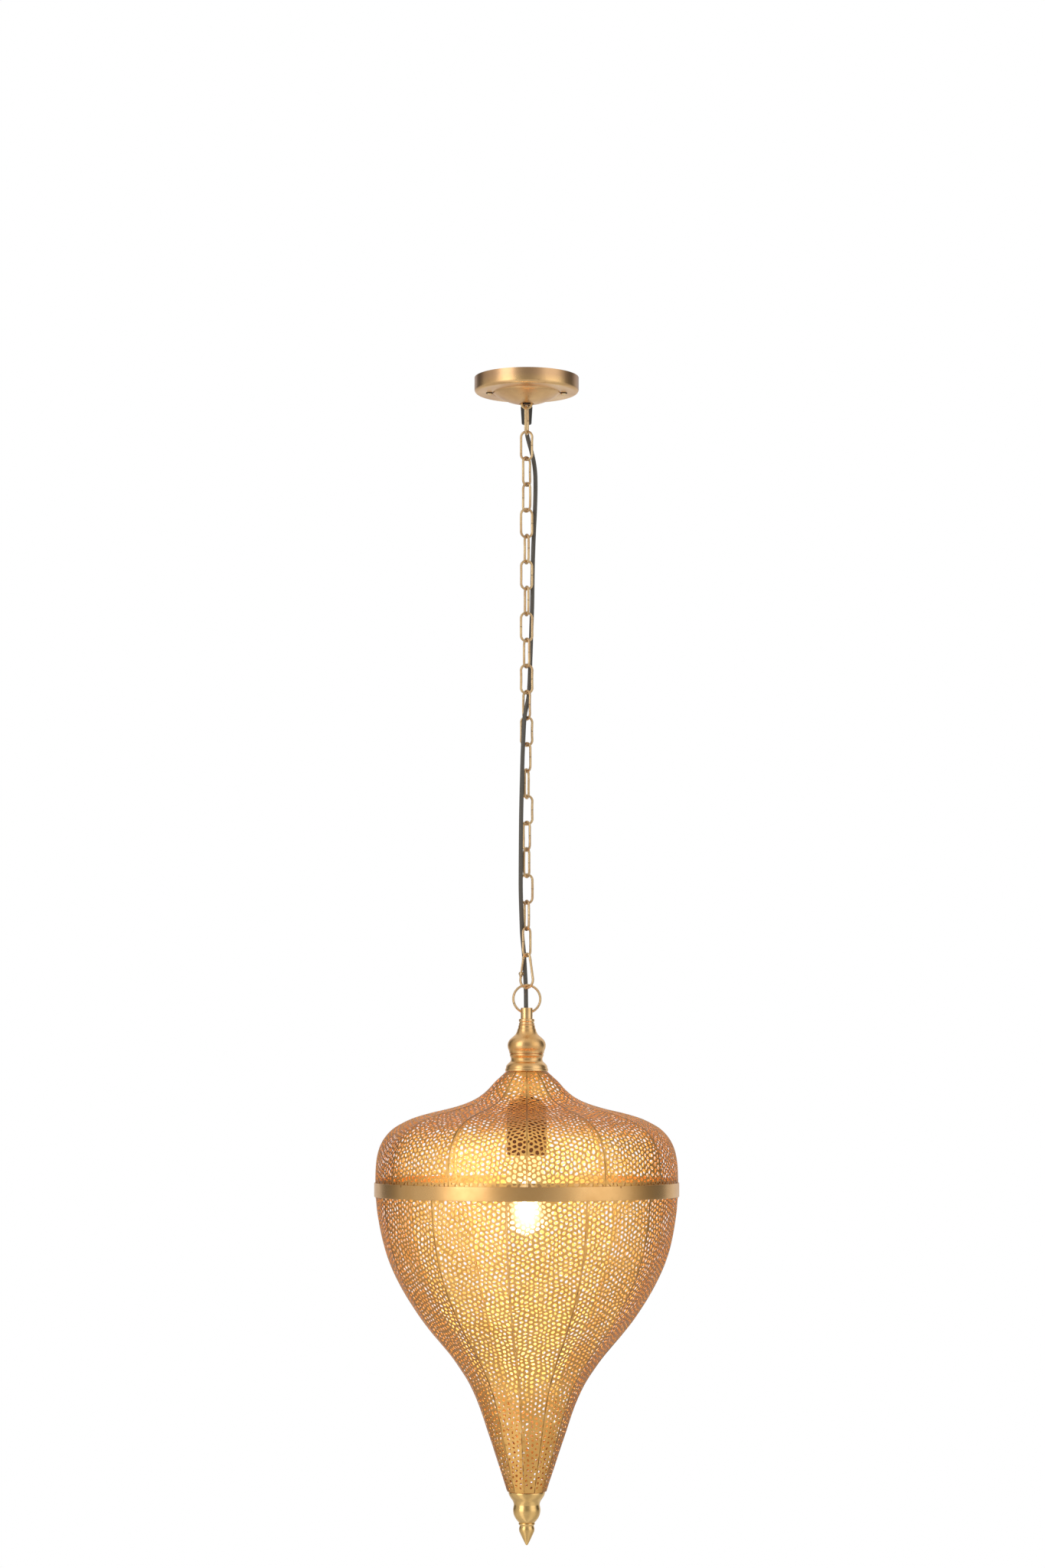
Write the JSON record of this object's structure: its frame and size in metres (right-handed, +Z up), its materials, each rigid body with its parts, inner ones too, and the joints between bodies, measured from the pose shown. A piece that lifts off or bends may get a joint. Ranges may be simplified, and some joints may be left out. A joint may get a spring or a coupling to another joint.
{
  "type": "hanging lantern",
  "caption": "Hanging lantern: pierced onion-shaped shade of two beaten halves on an oval-link chain, with a turned neck, a round canopy and a flex laced down the chain.",
  "frame": {"origin": "centre of the canopy's rim, on the ceiling", "axes": "+Z up into the ceiling; +X to the right and +Y away from a person who faces the lantern; the two canopy screws are on X and the flex leaves the canopy on +Y"},
  "size_m": [0.3504, 0.3504, 1.3493],
  "materials": {
    "aged_brass": "aged, satin",
    "brushed_brass": "brushed lengthwise, lacquered",
    "pierced_copper_brass": "beaten and pierced, copper tint",
    "zinc_steel": "zinc plated",
    "black_plastic": "moulded",
    "flex_sheath": "smooth dark sheath",
    "dark_bronze": "dark bronze",
    "white_insulator": "glazed",
    "warm_glass": "frosted, lit"
  },
  "bodies": {
    "ceiling_mount": {"ceiling_bracket": "zinc_steel", "canopy": "aged_brass", "canopy_screws": "aged_brass", "screw_washers": "black_plastic", "hanger_loop": "aged_brass", "loop_locknuts": "zinc_steel", "cord_grip": "black_plastic", "grip_nut": "black_plastic", "terminal_block": "white_insulator", "terminal_screws": "aged_brass", "canopy_cord": "flex_sheath", "hanging_cord": "flex_sheath"},
    "link_01": {"chain_link_01": "aged_brass"},
    "link_02": {"chain_link_02": "aged_brass"},
    "link_03": {"chain_link_03": "aged_brass"},
    "link_04": {"chain_link_04": "aged_brass"},
    "link_05": {"chain_link_05": "aged_brass"},
    "link_06": {"chain_link_06": "aged_brass"},
    "link_07": {"chain_link_07": "aged_brass"},
    "link_08": {"chain_link_08": "aged_brass"},
    "link_09": {"chain_link_09": "aged_brass"},
    "link_10": {"chain_link_10": "aged_brass"},
    "link_11": {"chain_link_11": "aged_brass"},
    "link_12": {"chain_link_12": "aged_brass"},
    "link_13": {"chain_link_13": "aged_brass"},
    "link_14": {"chain_link_14": "aged_brass"},
    "link_15": {"chain_link_15": "aged_brass"},
    "link_16": {"chain_link_16": "aged_brass"},
    "link_17": {"chain_link_17": "aged_brass"},
    "link_18": {"chain_link_18": "aged_brass"},
    "link_19": {"chain_link_19": "aged_brass"},
    "link_20": {"chain_link_20": "aged_brass"},
    "link_21": {"chain_link_21": "aged_brass"},
    "hook": {"snap_hook": "aged_brass", "gate_pin": "zinc_steel"},
    "gate": {"hook_gate": "aged_brass"},
    "ring": {"neck_ring": "aged_brass"},
    "lantern": {"neck_tube": "aged_brass", "neck_collar": "aged_brass", "neck_vase": "aged_brass", "shade_flange": "aged_brass", "lamp_nipple": "aged_brass", "nipple_nuts": "zinc_steel", "shade_top_plate": "zinc_steel", "upper_gores": "pierced_copper_brass", "upper_rim": "brushed_brass", "lampholder_cap": "dark_bronze", "lampholder_sleeve": "dark_bronze", "socket_insert": "white_insulator", "socket_contacts": "aged_brass", "bulb_cap": "zinc_steel", "bulb_glass": "warm_glass", "neck_cord": "flex_sheath"},
    "lower_shade": {"band": "brushed_brass", "band_pins": "zinc_steel", "lower_gores": "pierced_copper_brass", "shade_end_plate": "zinc_steel", "finial_bolt": "zinc_steel", "finial_cup": "aged_brass", "finial_tip": "aged_brass"}
  },
  "joints": [
    {"name": "chain_swing", "type": "hinge", "parent": "ceiling_mount", "child": "link_01", "pos_m": [0, 0, -0.0363], "axis": [-0.9781, 0.2079, 0], "range_deg": [-8, 12], "deforming": ["hanging_cord"]},
    {"name": "link_02_swing", "type": "hinge", "parent": "link_01", "child": "link_02", "pos_m": [0, 0, -0.0669], "axis": [0.1736, 0.9848, 0], "range_deg": [-4, 4]},
    {"name": "link_03_swing", "type": "hinge", "parent": "link_02", "child": "link_03", "pos_m": [0, 0, -0.0975], "axis": [-0.788, 0.6157, 0], "range_deg": [-4, 4]},
    {"name": "link_04_swing", "type": "hinge", "parent": "link_03", "child": "link_04", "pos_m": [0, 0, -0.1281], "axis": [0.788, 0.6157, 0], "range_deg": [-4, 4]},
    {"name": "link_05_swing", "type": "hinge", "parent": "link_04", "child": "link_05", "pos_m": [0, 0, -0.1587], "axis": [-0.2079, 0.9781, 0], "range_deg": [-4, 4]},
    {"name": "link_06_swing", "type": "hinge", "parent": "link_05", "child": "link_06", "pos_m": [0, 0, -0.1893], "axis": [0.9397, 0.342, 0], "range_deg": [-4, 4]},
    {"name": "link_07_swing", "type": "hinge", "parent": "link_06", "child": "link_07", "pos_m": [0, 0, -0.2199], "axis": [-0.2588, 0.9659, 0], "range_deg": [-4, 4]},
    {"name": "link_08_swing", "type": "hinge", "parent": "link_07", "child": "link_08", "pos_m": [0, 0, -0.2505], "axis": [0.9511, 0.309, 0], "range_deg": [-4, 4]},
    {"name": "link_09_swing", "type": "hinge", "parent": "link_08", "child": "link_09", "pos_m": [0, 0, -0.2811], "axis": [-0.1392, 0.9903, 0], "range_deg": [-4, 4]},
    {"name": "link_10_swing", "type": "hinge", "parent": "link_09", "child": "link_10", "pos_m": [0, 0, -0.3117], "axis": [0.891, 0.454, 0], "range_deg": [-4, 4]},
    {"name": "link_11_swing", "type": "hinge", "parent": "link_10", "child": "link_11", "pos_m": [0, 0, -0.3423], "axis": [-0.0872, 0.9962, 0], "range_deg": [-4, 4]},
    {"name": "link_12_swing", "type": "hinge", "parent": "link_11", "child": "link_12", "pos_m": [0, 0, -0.3729], "axis": [0.8191, 0.5736, 0], "range_deg": [-4, 4]},
    {"name": "link_13_swing", "type": "hinge", "parent": "link_12", "child": "link_13", "pos_m": [0, 0, -0.4035], "axis": [-0.2079, 0.9781, 0], "range_deg": [-4, 4]},
    {"name": "link_14_swing", "type": "hinge", "parent": "link_13", "child": "link_14", "pos_m": [0, 0, -0.4341], "axis": [0.766, 0.6428, 0], "range_deg": [-4, 4]},
    {"name": "link_15_swing", "type": "hinge", "parent": "link_14", "child": "link_15", "pos_m": [0, 0, -0.4647], "axis": [-0.9397, 0.342, 0], "range_deg": [-4, 4]},
    {"name": "link_16_swing", "type": "hinge", "parent": "link_15", "child": "link_16", "pos_m": [0, 0, -0.4953], "axis": [-0.0872, 0.9962, 0], "range_deg": [-4, 4]},
    {"name": "link_17_swing", "type": "hinge", "parent": "link_16", "child": "link_17", "pos_m": [0, 0, -0.5259], "axis": [0.8387, 0.5446, 0], "range_deg": [-4, 4]},
    {"name": "link_18_swing", "type": "hinge", "parent": "link_17", "child": "link_18", "pos_m": [0, 0, -0.5565], "axis": [-0.891, 0.454, 0], "range_deg": [-4, 4]},
    {"name": "link_19_swing", "type": "hinge", "parent": "link_18", "child": "link_19", "pos_m": [0, 0, -0.5871], "axis": [0, 1, 0], "range_deg": [-4, 4]},
    {"name": "link_20_swing", "type": "hinge", "parent": "link_19", "child": "link_20", "pos_m": [0, 0, -0.6177], "axis": [0.9272, 0.3746, 0], "range_deg": [-4, 4]},
    {"name": "link_21_swing", "type": "hinge", "parent": "link_20", "child": "link_21", "pos_m": [0, 0, -0.6483], "axis": [-0.766, 0.6428, 0], "range_deg": [-4, 4]},
    {"name": "hook_swing", "type": "hinge", "parent": "link_21", "child": "hook", "pos_m": [0, 0, -0.6789], "axis": [0.6428, 0.766, 0], "range_deg": [-8, 8]},
    {"name": "gate_opens", "type": "hinge", "parent": "hook", "child": "gate", "pos_m": [-0.00636, 0.00534, -0.69892], "axis": [0.6428, 0.766, 0], "range_deg": [0, 25], "stiffness_Nm_per_rad": 0.004},
    {"name": "ring_swing", "type": "hinge", "parent": "hook", "child": "ring", "pos_m": [0, 0, -0.7153], "axis": [-0.2079, 0.9781, 0], "range_deg": [-8, 8]},
    {"name": "lantern_swing", "type": "hinge", "parent": "ring", "child": "lantern", "pos_m": [0.00017, -0.00078, -0.7439], "axis": [0.9781, 0.2079, 0], "range_deg": [-10, 10]},
    {"name": "lower_shade_twist", "type": "hinge", "parent": "lantern", "child": "lower_shade", "pos_m": [0, 0, -0.945], "axis": [0, 0, 1], "range_deg": [0, 6]}
  ]
}
